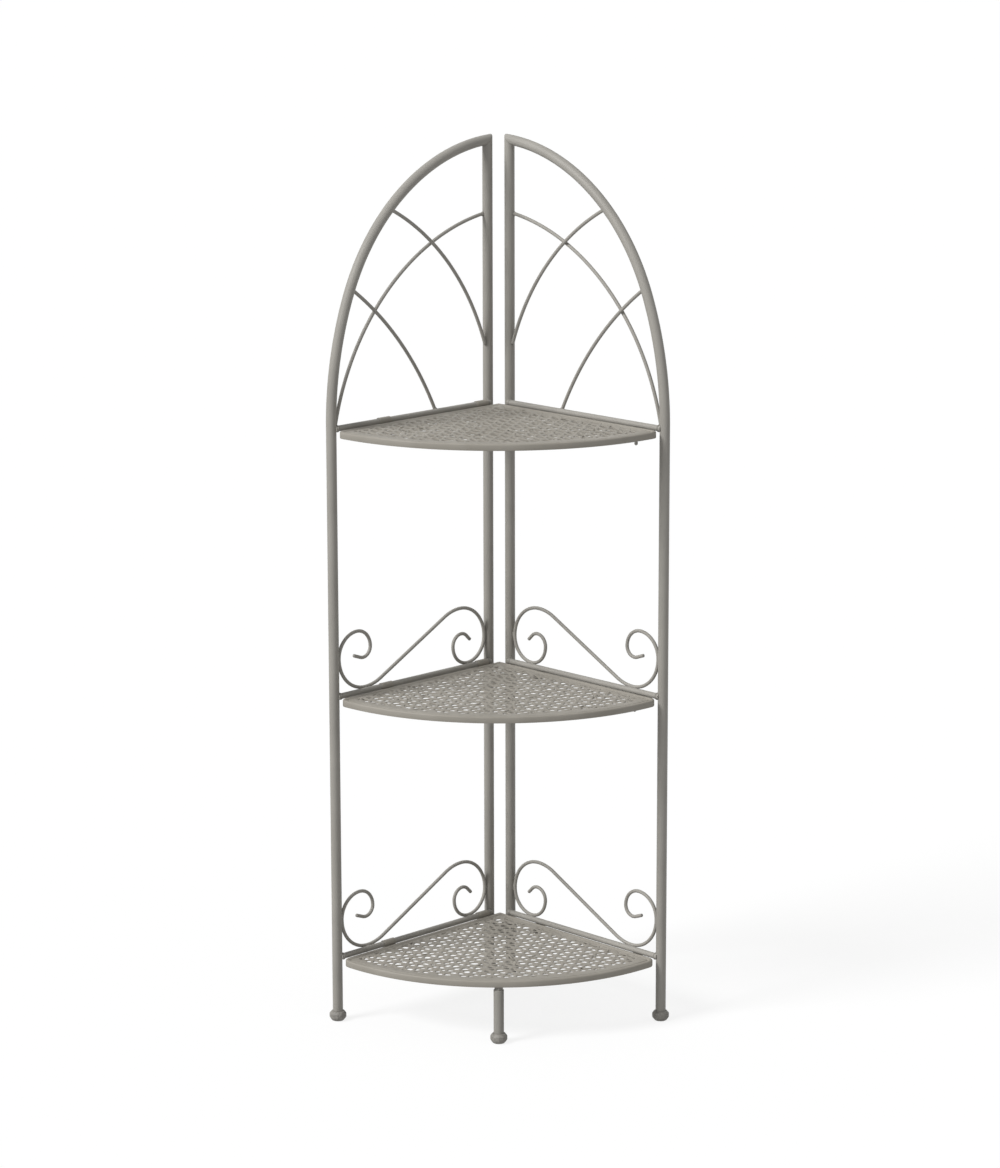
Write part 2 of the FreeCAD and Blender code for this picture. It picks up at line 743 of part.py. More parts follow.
def make_tab(level, label, place, with_hole):
    """A bent strap under the right rail that carries the rim of the shelf."""
    name = "%s_%s" % (level, label)
    thickness = size("keeper_thickness")
    shelf_seat = -rim_depth - size("rest_gap")
    stem = rail_inset - thickness / 2
    lip = pin_inset + size("keeper_lip")
    body = new_body(name + "_strap")
    profile = sketch_on(body, "YZ_Plane", name + "_profile")
    add_loop(profile, [(-stem, 0), (-stem, shelf_seat - thickness), (-lip, shelf_seat - thickness),
                       (-lip, shelf_seat), (-stem - thickness, shelf_seat), (-stem - thickness, 0)])
    doc.recompute()
    strap = body.newObject("PartDesign::Pad", name + "_pad")
    strap.Profile = profile
    strap.Midplane = True
    strap.setExpression("Length", in_sheet("keeper_width"))
    body.Tip = strap
    body.Placement = FreeCAD.Placement(FreeCAD.Vector(place, 0, rail_heights[level]), FreeCAD.Rotation())
    tools = [rail_envelope(name + "_at_rail", level, -1)]
    if with_hole:
        below = FreeCAD.Vector(place, -pin_inset, rail_heights[level] + shelf_seat - thickness - overrun)
        tools.append(prism(name + "_hole", "pin_bulb_diameter / 2 + pin_play", "pin_sides",
                           "keeper_thickness + 2 * overrun",
                           FreeCAD.Placement(below, FreeCAD.Rotation())))
    keep(cut(name, body, *tools), name, frame_places["right"])


for level in LEVELS:
    make_pan(level)
    make_sleeves(level)
    make_pin(level)
    make_tab(level, "lock_keeper", pin_place, True)
    make_tab(level, "rest_tab", size("rest_tab_place"), False)


# The screw-in leg under the front of the bottom shelf

def make_front_leg():
    """Weld nut, stud, plug, leg tube and foot, stacked down from the bottom shelf."""
    axis = FreeCAD.Vector(0, back_line - leg_reach, 0)
    floor = FreeCAD.Placement(axis, FreeCAD.Rotation())
    leg_top = rail_heights["bottom"] - rim_depth - size("nut_reach")
    nut_height = "rim_height - sheet_thickness + nut_reach"
    at_top = FreeCAD.Placement(UP * leg_top, FreeCAD.Rotation())
    at_plug = FreeCAD.Placement(UP * (leg_top - size("plug_length")), FreeCAD.Rotation())
    at_sole = FreeCAD.Placement(UP * tube_foot, FreeCAD.Rotation())
    bore = "stud_diameter / 2 + stud_play"
    nut = prism("front_nut_blank", "nut_diameter / 2", "nut_sides", nut_height, at_top)
    nut_bore = prism("front_nut_bore", bore, "bore_sides", nut_height, at_top)
    keep(cut("front_nut", nut, nut_bore), "front_leg_weld_nut", floor)
    plug = prism("front_plug_blank", INSIDE, "bore_sides", "plug_length", at_plug)
    plug_bore = prism("front_plug_bore", bore, "bore_sides", "plug_length", at_plug)
    keep(cut("front_plug", plug, plug_bore), "front_leg_plug", floor)
    stud_length = "plug_length + " + nut_height
    stud = prism("front_stud", "stud_diameter / 2", "bore_sides", stud_length, at_plug)
    keep(stud, "front_leg_stud", floor.multiply(at_plug))
    length = "bottom_rail_height - shelf_drop - rim_height - nut_reach - foot_sole"
    tube = prism("front_tube_rod", OUTSIDE, "tube_sides", length, at_sole)
    tube_bore = prism("front_tube_bore", INSIDE, "bore_sides", length, at_sole)
    keep(cut("front_tube", tube, tube_bore), "front_leg_tube", floor)
    make_foot("front_leg_foot", floor)


make_front_leg()
doc.recompute()

# Nothing is written unless every object is sound
for thing in doc.Objects:
    if "Invalid" in thing.State or "Error" in thing.State:
        raise RuntimeError("%s failed: %s" % (thing.Name, thing.State))
for piece in sub_parts:
    if piece.Shape.isNull() or not piece.Shape.isValid() or not piece.Shape.Solids:
        raise RuntimeError("%s has no sound solid" % piece.Label)

os.makedirs("parts", exist_ok=True)
total_facets = 0
for piece in sub_parts:
    piece.Shape.exportStep("parts/%s.step" % piece.Label)
    facets = len(piece.Shape.tessellate(0.1)[1])
    total_facets += facets
    print("%-24s solids %d volume %10.1f facets %d"
          % (piece.Label, len(piece.Shape.Solids), piece.Shape.Volume, facets))
print("nodes %d facets %d" % (len(sub_parts), total_facets))
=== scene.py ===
import math
import bpy
from mathutils import Matrix, Vector


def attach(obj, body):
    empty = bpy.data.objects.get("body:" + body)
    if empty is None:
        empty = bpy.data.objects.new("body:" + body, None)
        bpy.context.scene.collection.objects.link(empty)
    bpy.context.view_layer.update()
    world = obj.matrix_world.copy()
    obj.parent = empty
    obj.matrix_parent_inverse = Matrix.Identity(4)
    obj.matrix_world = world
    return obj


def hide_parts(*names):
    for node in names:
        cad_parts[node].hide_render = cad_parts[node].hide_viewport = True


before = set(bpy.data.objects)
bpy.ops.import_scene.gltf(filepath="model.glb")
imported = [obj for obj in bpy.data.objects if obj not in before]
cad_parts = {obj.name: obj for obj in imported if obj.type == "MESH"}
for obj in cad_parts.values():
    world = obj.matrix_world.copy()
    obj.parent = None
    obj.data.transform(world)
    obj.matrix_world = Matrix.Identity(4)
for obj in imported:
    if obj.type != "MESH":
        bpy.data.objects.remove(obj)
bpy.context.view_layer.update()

# Sizes in millimetres, as in the frame's own drawing
mm = 0.001
SIDES = {"left": 1, "right": -1}
OVERALL_HEIGHT = 1110
BACK_LINE = 139.75
FRONT_LEG_LINE = -139.75
UPRIGHT_SPACING = 28
WALL_REACH = 271.5
SOLE = 5

# Radii of tube, rail and wire; the wires look thicker under their paint
TUBE = 6.5
RAIL = 3.75
WIRE = 2
COATED_WIRE = 2.25

# Rails, measured from the floor and from their frame's middle plane
RAIL_HEIGHTS = {"bottom": 85, "middle": 426, "top": 767}
RAIL_INSET = 4.65
RAIL_BITE = 1.5

# The pan's outline: two straight edges, a bow in front and two rounded tips
SHELF_DROP = 2.2
PAN_EDGE = -1.15
BOW_CENTRE = 12.73
BOW_RADIUS = 269
TIP_RADIUS = 12
SHEET = 0.7

# Middles of the two sleeves along the left rail
SLEEVE_PLACES = (17.5, 187)
SLEEVE_LENGTH = 19


def frame_place(side):
    """From a frame's own directions (along the wall, into the corner, up) to the room's."""
    turn = math.radians(-90 - side * 45)
    foot = Vector((-side * UPRIGHT_SPACING / 2 * mm, BACK_LINE * mm, 0))
    return Matrix.Translation(foot) @ Matrix.Rotation(turn, 4, "Z")


PAN_PLACE = (Matrix.Translation((0, BACK_LINE * mm, 0))
             @ Matrix.Rotation(math.radians(-135), 4, "Z"))

# The camera, fitted to the outlines in the photograph
CAMERA_PLACE = (0.03213, -4.79088, 1.63099)
CAMERA_TURN = (math.radians(90 - 12.6155), 0.00203, 0.00588)
SENSOR = 36
FOCAL_PIXELS = 3898.3
PICTURE_HEIGHT = 1168


def set_up_camera():
    """The viewpoint of the photograph: a long lens, a little above the top shelf's eye line."""
    bpy.ops.object.camera_add(location=CAMERA_PLACE, rotation=CAMERA_TURN)
    camera = bpy.context.object
    camera.data.sensor_width = SENSOR
    camera.data.lens = SENSOR * FOCAL_PIXELS / PICTURE_HEIGHT
    camera.data.clip_end = 200
    bpy.context.scene.camera = camera


set_up_camera()


# Bench tools: how a piece is started, picked, shaped and finished

def clear_bench():
    """Leaves editing and lets go of every piece."""
    if bpy.context.object and bpy.context.object.mode != "OBJECT":
        bpy.ops.object.mode_set(mode="OBJECT")
    bpy.ops.object.select_all(action="DESELECT")


def into_editing(piece, kind="VERT"):
    """Takes one piece into editing, picking points, edges or faces."""
    clear_bench()
    bpy.context.view_layer.objects.active = piece
    piece.select_set(True)
    bpy.ops.object.mode_set(mode="EDIT")
    bpy.ops.mesh.select_mode(type=kind)


def pick_faces(piece, wanted):
    """Selects the faces that pass the test, and stays in editing."""
    into_editing(piece, "FACE")
    bpy.ops.mesh.select_all(action="DESELECT")
    bpy.ops.object.mode_set(mode="OBJECT")
    for face in piece.data.polygons:
        face.select = wanted(face)
    bpy.ops.object.mode_set(mode="EDIT")


def start_point(name, x, y, z):
    """A single point to draw a line from, left selected in editing."""
    clear_bench()
    bpy.ops.mesh.primitive_plane_add(size=2 * mm, location=(0, 0, 0), enter_editmode=True)
    bpy.ops.mesh.select_mode(type="VERT")
    bpy.ops.mesh.select_all(action="SELECT")
    bpy.ops.mesh.merge(type="CENTER")
    bpy.ops.transform.translate(value=(x * mm, y * mm, z * mm))
    piece = bpy.context.object
    piece.name = name
    return piece


def draw_on(dx, dy, dz):
    """Draws what is selected on, in a straight line."""
    bpy.ops.mesh.extrude_region_move(TRANSFORM_OT_translate={"value": (dx * mm, dy * mm, dz * mm)})


def swing(centre, axis, degrees, steps):
    """Sweeps what is selected round an axis, turning by the right-hand rule."""
    at = [value * mm for value in centre]
    bpy.ops.mesh.spin(steps=steps, angle=-math.radians(degrees), center=at, axis=axis)


def modify(piece, kind, **settings):
    """Adds a modifier with its settings and applies it."""
    clear_bench()
    bpy.context.view_layer.objects.active = piece
    piece.select_set(True)
    step = piece.modifiers.new(kind.title(), kind)
    for name, value in settings.items():
        setattr(step, name, value)
    bpy.ops.object.modifier_apply(modifier=step.name)
    return piece


def ease_edges(piece, width, segments=2, angle=50):
    """Rounds the edges that are sharper than an angle in degrees."""
    return modify(piece, "BEVEL", width=width * mm, segments=segments, limit_method="ANGLE",
                  angle_limit=math.radians(angle))


def close_seams(gap=0.01):
    """Merges the points of the piece in editing that lie closer than a gap."""
    bpy.ops.mesh.select_all(action="SELECT")
    bpy.ops.mesh.remove_doubles(threshold=gap * mm)


def turn_outward(piece):
    """Closes the seams and turns every face outwards."""
    into_editing(piece)
    close_seams()
    bpy.ops.mesh.normals_make_consistent(inside=False)
    clear_bench()
    return piece


def turned(name, outline, around=24):
    """A lathe-turned piece from (radius, height) points, bottom first."""
    first_radius, first_height = outline[0]
    piece = start_point(name, first_radius, 0, first_height)
    for (radius, height), (next_radius, next_height) in zip(outline, outline[1:]):
        draw_on(next_radius - radius, 0, next_height - height)
    bpy.ops.mesh.select_all(action="SELECT")
    swing((0, 0, 0), (0, 0, 1), 360, around)
    return turn_outward(piece)


def put(piece, place):
    """Moves a piece from the bench to its place, and leaves its object at the origin."""
    clear_bench()
    piece.matrix_world = place @ piece.matrix_world
    bpy.context.view_layer.objects.active = piece
    piece.select_set(True)
    bpy.ops.object.transform_apply(location=True, rotation=True, scale=True)
    return piece


def smooth(piece, angle=40):
    """Shades a piece smooth across the edges that are flatter than an angle in degrees."""
    clear_bench()
    bpy.context.view_layer.objects.active = piece
    piece.select_set(True)
    bpy.ops.object.shade_smooth_by_angle(angle=math.radians(angle))
    return piece


def joined(name, pieces):
    """Several pieces made one mesh."""
    clear_bench()
    for piece in pieces:
        piece.select_set(True)
    bpy.context.view_layer.objects.active = pieces[0]
    bpy.ops.object.join()
    pieces[0].name = name
    return pieces[0]


def copy_of(piece, name):
    """A piece of its own with the same shape."""
    twin = piece.copy()
    twin.data = piece.data.copy()
    twin.name = name
    bpy.context.collection.objects.link(twin)
    return twin


def finish_piece(piece, name, body, slot, paint, *nodes):
    """Names a piece, paints it, and lets it ride on its body in place of its nodes."""
    piece.name = name
    piece.data.name = name
    piece.data.materials.clear()
    piece.data.materials.append(paint)
    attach(piece, body)
    if nodes:
        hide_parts(*nodes)


# Finishes

class Signal:
    """A node's output that takes part in sums."""

    def __init__(self, finish, socket):
        self.finish = finish
        self.socket = socket

    def combine(self, operation, first, second):
        return self.finish.node("ShaderNodeMath", {"operation": operation}, {0: first, 1: second})

    def __add__(self, other):
        return self.combine("ADD", self, other)

    def __radd__(self, other):
        return self.combine("ADD", other, self)

    def __sub__(self, other):
        return self.combine("SUBTRACT", self, other)

    def __rsub__(self, other):
        return self.combine("SUBTRACT", other, self)

    def __mul__(self, other):
        return self.combine("MULTIPLY", self, other)

    def __rmul__(self, other):
        return self.combine("MULTIPLY", other, self)


class Finish:
    """One procedural material, built node by node."""

    def __init__(self, name):
        self.material = bpy.data.materials.new(name)
        self.material.use_nodes = True
        self.tree = self.material.node_tree
        self.tree.nodes.clear()

    def node(self, kind, settings, inputs, output=0):
        made = self.tree.nodes.new(kind)
        for name, value in settings.items():
            setattr(made, name, value)
        for key, value in inputs.items():
            if isinstance(value, Signal):
                self.tree.links.new(value.socket, made.inputs[key])
            else:
                made.inputs[key].default_value = value
        return None if output is None else Signal(self, made.outputs[output])

    def place(self, kind="Object"):
        return self.node("ShaderNodeTexCoord", {}, {}, kind)

    def noise(self, scale, detail=2.0, roughness=0.5):
        return self.node("ShaderNodeTexNoise", {}, {"Vector": self.place(), "Scale": scale,
                                                    "Detail": detail, "Roughness": roughness})

    def blend(self, share, first, second):
        """A colour between two colours."""
        return self.node("ShaderNodeMix", {"data_type": "RGBA"}, {0: share, 6: first, 7: second}, 2)

    def between(self, value, low, high):
        """Stretches a value so that low becomes 0 and high becomes 1."""
        return self.node("ShaderNodeMapRange", {},
                         {"Value": value, "From Min": low, "From Max": high})

    def clouded(self, dark, light):
        """A tone that drifts softly between two near colours."""
        return self.blend(self.between(self.noise(22, 3.0), 0.3, 0.7), dark, light)

    def orange_peel(self, depth, fine_depth):
        """The skin of sprayed and baked paint, in two sizes of dimple."""
        peel = self.relief(self.noise(420, 2.0), depth)
        return self.relief(self.noise(1600, 1.0), fine_depth, 0.6, peel)

    def relief(self, height, depth, strength=1.0, under=None):
        """Raised and sunk detail whose full depth is given in millimetres."""
        inputs = {"Height": height, "Distance": depth * mm, "Strength": strength}
        if under is not None:
            inputs["Normal"] = under
        return self.node("ShaderNodeBump", {}, inputs)

    def surface(self, **sockets):
        shader = self.node("ShaderNodeBsdfPrincipled", {}, sockets)
        self.node("ShaderNodeOutputMaterial", {}, {"Surface": shader}, None)
        return self.material


PAINT_SPECULAR = 0.35


def deeper(colour, share):
    """The same colour at a share of its brightness."""
    return [value * share for value in colour[:3]] + [1]


def satin_paint(name, light, dark, grain=0.03):
    """Sprayed and baked paint: faint clouding, fine orange peel and a little dust."""
    paint = Finish(name)
    specks = paint.between(paint.noise(900, 2.0), 0.62, 0.8)
    colour = paint.blend(specks * 0.25, paint.clouded(dark, light), deeper(dark, 0.72))
    roughness = 0.5 + 0.1 * paint.noise(60, 3.0)
    return paint.surface(**{"Base Color": colour, "Roughness": roughness,
                            "Normal": paint.orange_peel(grain, grain / 3),
                            "Specular IOR Level": PAINT_SPECULAR})


def pressed_paint(name, light, dark, hollow_dust_and_shade):
    """The shelves' paint: as the frame's, but darker and rougher down in the pressed hollows,
    partly from dust and partly from painted shade.
    """
    paint = Finish(name)
    # Heights are taken over a level 9 mm under each shelf: hollows start at 8.2 and end at 6.8
    datum, shallow, deep = 9, 8.2, 6.8
    height = paint.node("ShaderNodeSeparateXYZ", {}, {"Vector": paint.place()}, "Z")
    lowest = (RAIL_HEIGHTS["bottom"] - SHELF_DROP - datum) * mm
    spacing = (RAIL_HEIGHTS["middle"] - RAIL_HEIGHTS["bottom"]) * mm
    rise = paint.node("ShaderNodeMath", {"operation": "MODULO"}, {0: height - lowest, 1: spacing})
    facing = paint.node("ShaderNodeSeparateXYZ", {}, {"Vector": paint.place("Normal")}, "Z")
    # Where dust and painted shade darken the hollows: deep in the pressing, and not on upright
    # faces
    depth = paint.between(rise, shallow * mm, deep * mm) * paint.between(facing, 0.15, 0.45)
    patches = paint.between(paint.noise(140, 3.0), 0.25, 0.6)
    colour = paint.blend(depth * patches * 0.5, paint.clouded(dark, light), hollow_dust_and_shade)
    roughness = 0.5 + 0.1 * paint.noise(60, 3.0) + 0.15 * depth
    return paint.surface(**{"Base Color": colour, "Roughness": roughness,
                            "Normal": paint.orange_peel(0.04, 0.015),
                            "Specular IOR Level": PAINT_SPECULAR})


def pebbled_paint(name, light, dark):
    """The coarser skin of the cast caps: small pebbles, with painted shade in the hollows between
    them.
    """
    paint = Finish(name)
    pebbles = paint.node("ShaderNodeTexVoronoi", {"feature": "SMOOTH_F1"},
                         {"Vector": paint.place(), "Scale": 420.0, "Smoothness": 0.6}, "Distance")
    clouds = paint.between(paint.noise(90, 3.0), 0.35, 0.65)
    tone = paint.blend(clouds, dark, light)
    # Painted shade darkens the hollows between the pebbles
    hollows = paint.between(pebbles, 0.2, 0.75)
    colour = paint.blend(hollows * 0.35, tone, deeper(dark, 0.6))
    skin = paint.relief(1.0 - pebbles, 0.35, 0.7)
    fine = paint.relief(paint.noise(1500, 2.0), 0.02, 0.6, skin)
    roughness = 0.5 + 0.15 * paint.noise(200, 2.0)
    return paint.surface(**{"Base Color": colour, "Roughness": roughness, "Normal": fine})


def plated_steel(name):
    """Zinc plating with turning marks and a cloudy bloom."""
    plate = Finish(name)
    rings = plate.node("ShaderNodeTexWave", {"wave_type": "BANDS", "bands_direction": "Z"},
                       {"Vector": plate.place(), "Scale": 900.0, "Distortion": 1.5, "Detail": 2.0},
                       "Fac")
    bloom = plate.between(plate.noise(160, 4.0), 0.35, 0.7)
    colour = plate.blend(bloom, (0.55, 0.56, 0.56, 1), (0.68, 0.67, 0.64, 1))
    roughness = 0.28 + 0.18 * bloom
    marks = plate.relief(rings, 0.015, 0.5)
    return plate.surface(**{"Base Color": colour, "Metallic": 1.0, "Roughness": roughness,
                            "Normal": marks})


frame_paint = satin_paint("satin_frame_paint", (0.335, 0.321, 0.292, 1), (0.300, 0.287, 0.261, 1))
# The shelves' paint; its third colour is the dark of dust and painted shade in the pressed hollows
shelf_paint = pressed_paint("pressed_shelf_paint", (0.318, 0.297, 0.260, 1),
                            (0.279, 0.259, 0.224, 1), (0.120, 0.108, 0.090, 1))
# The front leg's paint: the frame's paint made darker, as painted shade from the bottom shelf above
# it
leg_paint_with_painted_shade = satin_paint("satin_screw_leg_paint", (0.270, 0.258, 0.234, 1),
                        (0.241, 0.231, 0.209, 1))
weld_paint = satin_paint("painted_weld", (0.285, 0.272, 0.246, 1), (0.205, 0.195, 0.176, 1), 0.12)
cap_paint = pebbled_paint("cast_cap_paint", (0.276, 0.263, 0.239, 1), (0.216, 0.205, 0.186, 1))
zinc = plated_steel("zinc_plating")


# Bent tubes and rods

def bent_rod(name, radius, start, heading, moves, around=24, chord=5.0):
    """Draws a round rod from start through straight (length,) and bent (radius, degrees) moves.

    The rod lies in its frame's plane. Positive degrees bend it away from the upright.
    """
    clear_bench()
    x, z = start[0], start[2]
    bpy.ops.mesh.primitive_circle_add(vertices=around, radius=radius * mm, fill_type="NGON",
                                      location=[value * mm for value in start],
                                      rotation=(0, math.radians(90 - heading), 0),
                                      enter_editmode=True)
    for move in moves:
        ahead = (math.cos(math.radians(heading)), math.sin(math.radians(heading)))
        if len(move) == 1:
            draw_on(move[0] * ahead[0], 0, move[0] * ahead[1])
            x += move[0] * ahead[0]
            z += move[0] * ahead[1]
            continue
        bend, degrees = move
        hand = math.copysign(1, degrees)
        centre = (x + hand * bend * ahead[1], start[1], z - hand * bend * ahead[0])
        arc = bend * math.radians(abs(degrees))
        steps = max(3, math.ceil(abs(degrees) / 6), math.ceil(arc / chord))
        swing(centre, (0, 1, 0), degrees, steps)
        heading -= degrees
        x = centre[0] - hand * bend * math.sin(math.radians(heading))
        z = centre[2] + hand * bend * math.cos(math.radians(heading))
    rod = bpy.context.object
    rod.name = name
    turn_outward(rod)
    rod.select_set(True)
    bpy.ops.object.transform_apply(location=True, rotation=True)
    return rod


def saw_mitre(piece, point, normal):
    """Saws off what stands past a plane near a point, and closes the cut."""
    near = Vector([value * mm for value in point])
    pick_faces(piece, lambda face: (face.center - near).length < 60 * mm)
    bpy.ops.mesh.bisect(plane_co=[value * mm for value in point], plane_no=normal, use_fill=True,
                        clear_outer=True)
    clear_bench()


# The arch's figures, worked out as the tube is bent. Tubes run past the mitre before it is sawn.
OVERRUN = 20
MITRE_ROOM = 30
SHOULDER_BEND, SHOULDER_TURN, CROWN_BEND = 430, 22, 277
shoulder_end = WALL_REACH - SHOULDER_BEND * (1 - math.cos(math.radians(SHOULDER_TURN)))
crown_centre = shoulder_end - CROWN_BEND * math.cos(math.radians(SHOULDER_TURN))
slope = math.asin(-crown_centre / CROWN_BEND)
apex = OVERALL_HEIGHT - TUBE / math.cos(slope) - TUBE * math.tan(slope)
arch_rise = SHOULDER_BEND * math.sin(math.radians(SHOULDER_TURN))
arch_rise += CROWN_BEND * (math.cos(slope) - math.sin(math.radians(SHOULDER_TURN)))
arch_start = apex - arch_rise
crown_turn = 90 - SHOULDER_TURN - math.degrees(slope)
mitre_tilt = math.radians(90 + math.degrees(slope)) / 2


def make_tubes(side_name, side):
    """The leg with its arch, and the back upright, sawn on the mitre where they meet."""
    mitre = (math.sin(mitre_tilt), 0, math.cos(mitre_tilt))
    arch = bent_rod("arch", TUBE, (WALL_REACH, 0, SOLE), 90,
                    [(arch_start - SOLE,), (SHOULDER_BEND, -SHOULDER_TURN),
                     (CROWN_BEND, -crown_turn), (OVERRUN,)], 32)
    saw_mitre(arch, (0, 0, apex), (-mitre[0], 0, -mitre[2]))
    ease_edges(arch, 0.5, 2, 35)
    put(smooth(arch), frame_place(side))
    finish_piece(arch, side_name + "_arch_tube", "frames", "frame_paint", frame_paint,
                 side_name + "_leg_arch")
    upright = bent_rod("upright", TUBE, (0, 0, SOLE), 90,
                       [(apex - SOLE - MITRE_ROOM,), (MITRE_ROOM + OVERRUN,)], 32)
    saw_mitre(upright, (0, 0, apex), mitre)
    ease_edges(upright, 0.5, 2, 35)
    put(smooth(upright), frame_place(side))
    finish_piece(upright, side_name + "_upright_tube", "frames", "frame_paint", frame_paint,
                 side_name + "_back_upright")


def make_rails(side_name, side):
    """Three rods run into the upright and the leg."""
    for level, height in RAIL_HEIGHTS.items():
        rail = bent_rod("rail", RAIL, (RAIL_BITE, side * RAIL_INSET, height), 0,
                        [(WALL_REACH - 2 * RAIL_BITE,)])
        put(smooth(rail), frame_place(side))
        finish_piece(rail, "%s_%s_rod" % (side_name, level), "frames", "frame_paint", frame_paint,
                     "%s_%s_rail" % (side_name, level))


# Each wire's bend, start along the wall and over the top rail, heading, turn and layer
WIRES = {
    "inner_wire": (327, 7.3, 76.2, 71.2, 44.6, 1),
    "long_wire": (310, 0, 243.5, -7.4, 70.5, -1),
    "side_wire": (433, 95, 0, 65, 29.7, 1),
}
LAYER = 2.05


def make_wires(side_name, side):
    """The three curved wires in the arch; the long one passes behind the other two."""
    for wire, (bend, along, rise, heading, degrees, layer) in WIRES.items():
        start = (along, side * layer * LAYER, RAIL_HEIGHTS["top"] + rise)
        rod = bent_rod("wire", COATED_WIRE, start, heading, [(bend, degrees)], 16, 4.0)
        ease_edges(rod, 1.1, 3)
        put(smooth(rod), frame_place(side))
        finish_piece(rod, "%s_%s_rod" % (side_name, wire), "frames", "frame_paint", frame_paint,
                     "%s_%s" % (side_name, wire))


# A scroll's bends, and where it meets the upright or leg and the rail
SCROLL_LOWER, SCROLL_INNER, SCROLL_OUTER, SCROLL_SHOULDER = 31, 25, 43, 59
CURL, CURL_END, CURL_TAIL = 15, 13, 9
# The curl by the leg is a little tighter and opens flatter
LEG_CURL = [(SCROLL_INNER - 2.5, -90), (CURL - 2, -90), (CURL_END, -20), (12,)]
WELD_GAP = 0.1
SCROLL_SIDE = TUBE + WIRE + WELD_GAP
SCROLL_LOW = math.sqrt((RAIL + WIRE + WELD_GAP) ** 2 - RAIL_INSET ** 2)


def scroll_route():
    """Where a scroll's inner end starts, and its bends from end to end."""
    half = math.sqrt(0.5)
    reach = (CURL_END + CURL_TAIL) * half
    start = (SCROLL_SIDE + SCROLL_LOWER + SCROLL_INNER - CURL - reach,
             SCROLL_LOW + SCROLL_INNER + CURL - CURL_END + (CURL_END - CURL_TAIL) * half)
    across = WALL_REACH / 2 - (SCROLL_SIDE + SCROLL_OUTER)
    drop = SCROLL_SHOULDER - (SCROLL_LOWER + SCROLL_OUTER) / 2
    span = math.hypot(across, drop)
    turn = 90 - math.degrees(math.atan2(drop, across) + math.acos(SCROLL_SHOULDER / span))
    run = 2 * math.sqrt(span ** 2 - SCROLL_SHOULDER ** 2)
    lobe = [(CURL_END, 45), (CURL, 90), (SCROLL_INNER, 90), (SCROLL_LOWER, 90), (SCROLL_OUTER, 90),
            (SCROLL_SHOULDER, turn)]
    back = [(bend, -degrees) for bend, degrees in reversed(lobe[3:])]
    return start, [(CURL_TAIL,)] + lobe + [(run,)] + back + LEG_CURL


def make_scrolls(side_name, side):
    """One wire scroll on the bottom rail and one on the middle rail."""
    (along, rise), moves = scroll_route()
    for level in ("bottom", "middle"):
        start = (along, 0, RAIL_HEIGHTS[level] + rise)
        scroll = bent_rod("scroll", COATED_WIRE, start, 45, moves, 16, 3.0)
        ease_edges(scroll, 0.8, 3)
        put(smooth(scroll), frame_place(side))
        finish_piece(scroll, "%s_%s_scroll_rod" % (side_name, level), "frames", "frame_paint",
                     frame_paint, "%s_%s_scroll" % (side_name, level))


# Weld beads: small lumps of metal run into each joint and painted over

weld_lumps = bpy.data.textures.new("weld_lumps", "CLOUDS")
weld_lumps.noise_scale = 4 * mm

# Half lengths of the beads at a rail's end, and at a scroll's side and foot
RAIL_BEAD = (2.0, 4.4, 4.7)
SIDE_BEAD = (1.3, 2.1, 5.0)
REST_BEAD = (5.5, 2.4, 1.9)


def bead(centre, sizes):
    """One squashed drop of weld; sizes are its half lengths."""
    clear_bench()
    bpy.ops.mesh.primitive_ico_sphere_add(subdivisions=3, radius=mm,
                                          location=[value * mm for value in centre],
                                          scale=sizes)
    drop = bpy.context.object
    bpy.ops.object.transform_apply(location=True, rotation=True, scale=True)
    return modify(drop, "DISPLACE", texture=weld_lumps, strength=0.8 * mm, mid_level=0.5,
                  texture_coords="LOCAL")


def make_welds(side_name, side):
    """Beads at the rails' ends and where the scrolls and wires touch tubes and rails."""
    drops = []
    for height in RAIL_HEIGHTS.values():
        for along in (TUBE - 0.9, WALL_REACH - TUBE + 0.9):
            drops.append(bead((along, side * RAIL_INSET, height), RAIL_BEAD))
    for level in ("bottom", "middle"):
        base = RAIL_HEIGHTS[level]
        upright_touch = base + SCROLL_LOW + SCROLL_LOWER
        leg_touch = base + SCROLL_LOW + SCROLL_OUTER
        drops.append(bead((TUBE + 0.2, 0, upright_touch), SIDE_BEAD))
        drops.append(bead((WALL_REACH - TUBE - 0.2, 0, leg_touch), SIDE_BEAD))
        for along in (SCROLL_SIDE + SCROLL_LOWER, WALL_REACH - SCROLL_SIDE - SCROLL_OUTER):
            drops.append(bead((along, side * 2.3, base + SCROLL_LOW - 1.6), REST_BEAD))
    top_rail = RAIL_HEIGHTS["top"]
    for wire, (_, along, rise, heading, degrees, layer) in WIRES.items():
        across = side * layer * LAYER
        if wire == "side_wire":
            drops.append(bead((along + 1.2, across, top_rail + 3.0), (3.2, 2.8, 2.0)))
        elif wire == "inner_wire":
            drops.append(bead((TUBE + 0.7, across, top_rail + rise + 1.5), (1.3, 2.2, 3.6)))
        else:
            out = TUBE + 0.4
            up = out * math.tan(math.radians(heading - degrees * 0.04))
            drops.append(bead((out, across, top_rail + rise + up), (1.6, 2.6, 3.2)))
    beads = joined("welds", drops)
    put(smooth(turn_outward(beads)), frame_place(side))
    finish_piece(beads, side_name + "_weld_beads", "frames", "frame_paint", weld_paint)


for side_name, side in SIDES.items():
    make_tubes(side_name, side)
    make_rails(side_name, side)
    make_wires(side_name, side)
    make_scrolls(side_name, side)
    make_welds(side_name, side)


# Feet, as (radius, height) from the floor up

FOOT_OUTLINE = ((0, 0), (6.4, 0), (7.6, 0.4), (9.6, 2.6), (10.6, 4.2), (10.8, 5.0), (10.8, 9.2),
                (10.5, 10.0), (8.6, 12.2), (7.6, 12.9), (6.9, 13.0), (6.4, 12.6), (0, 12.6))


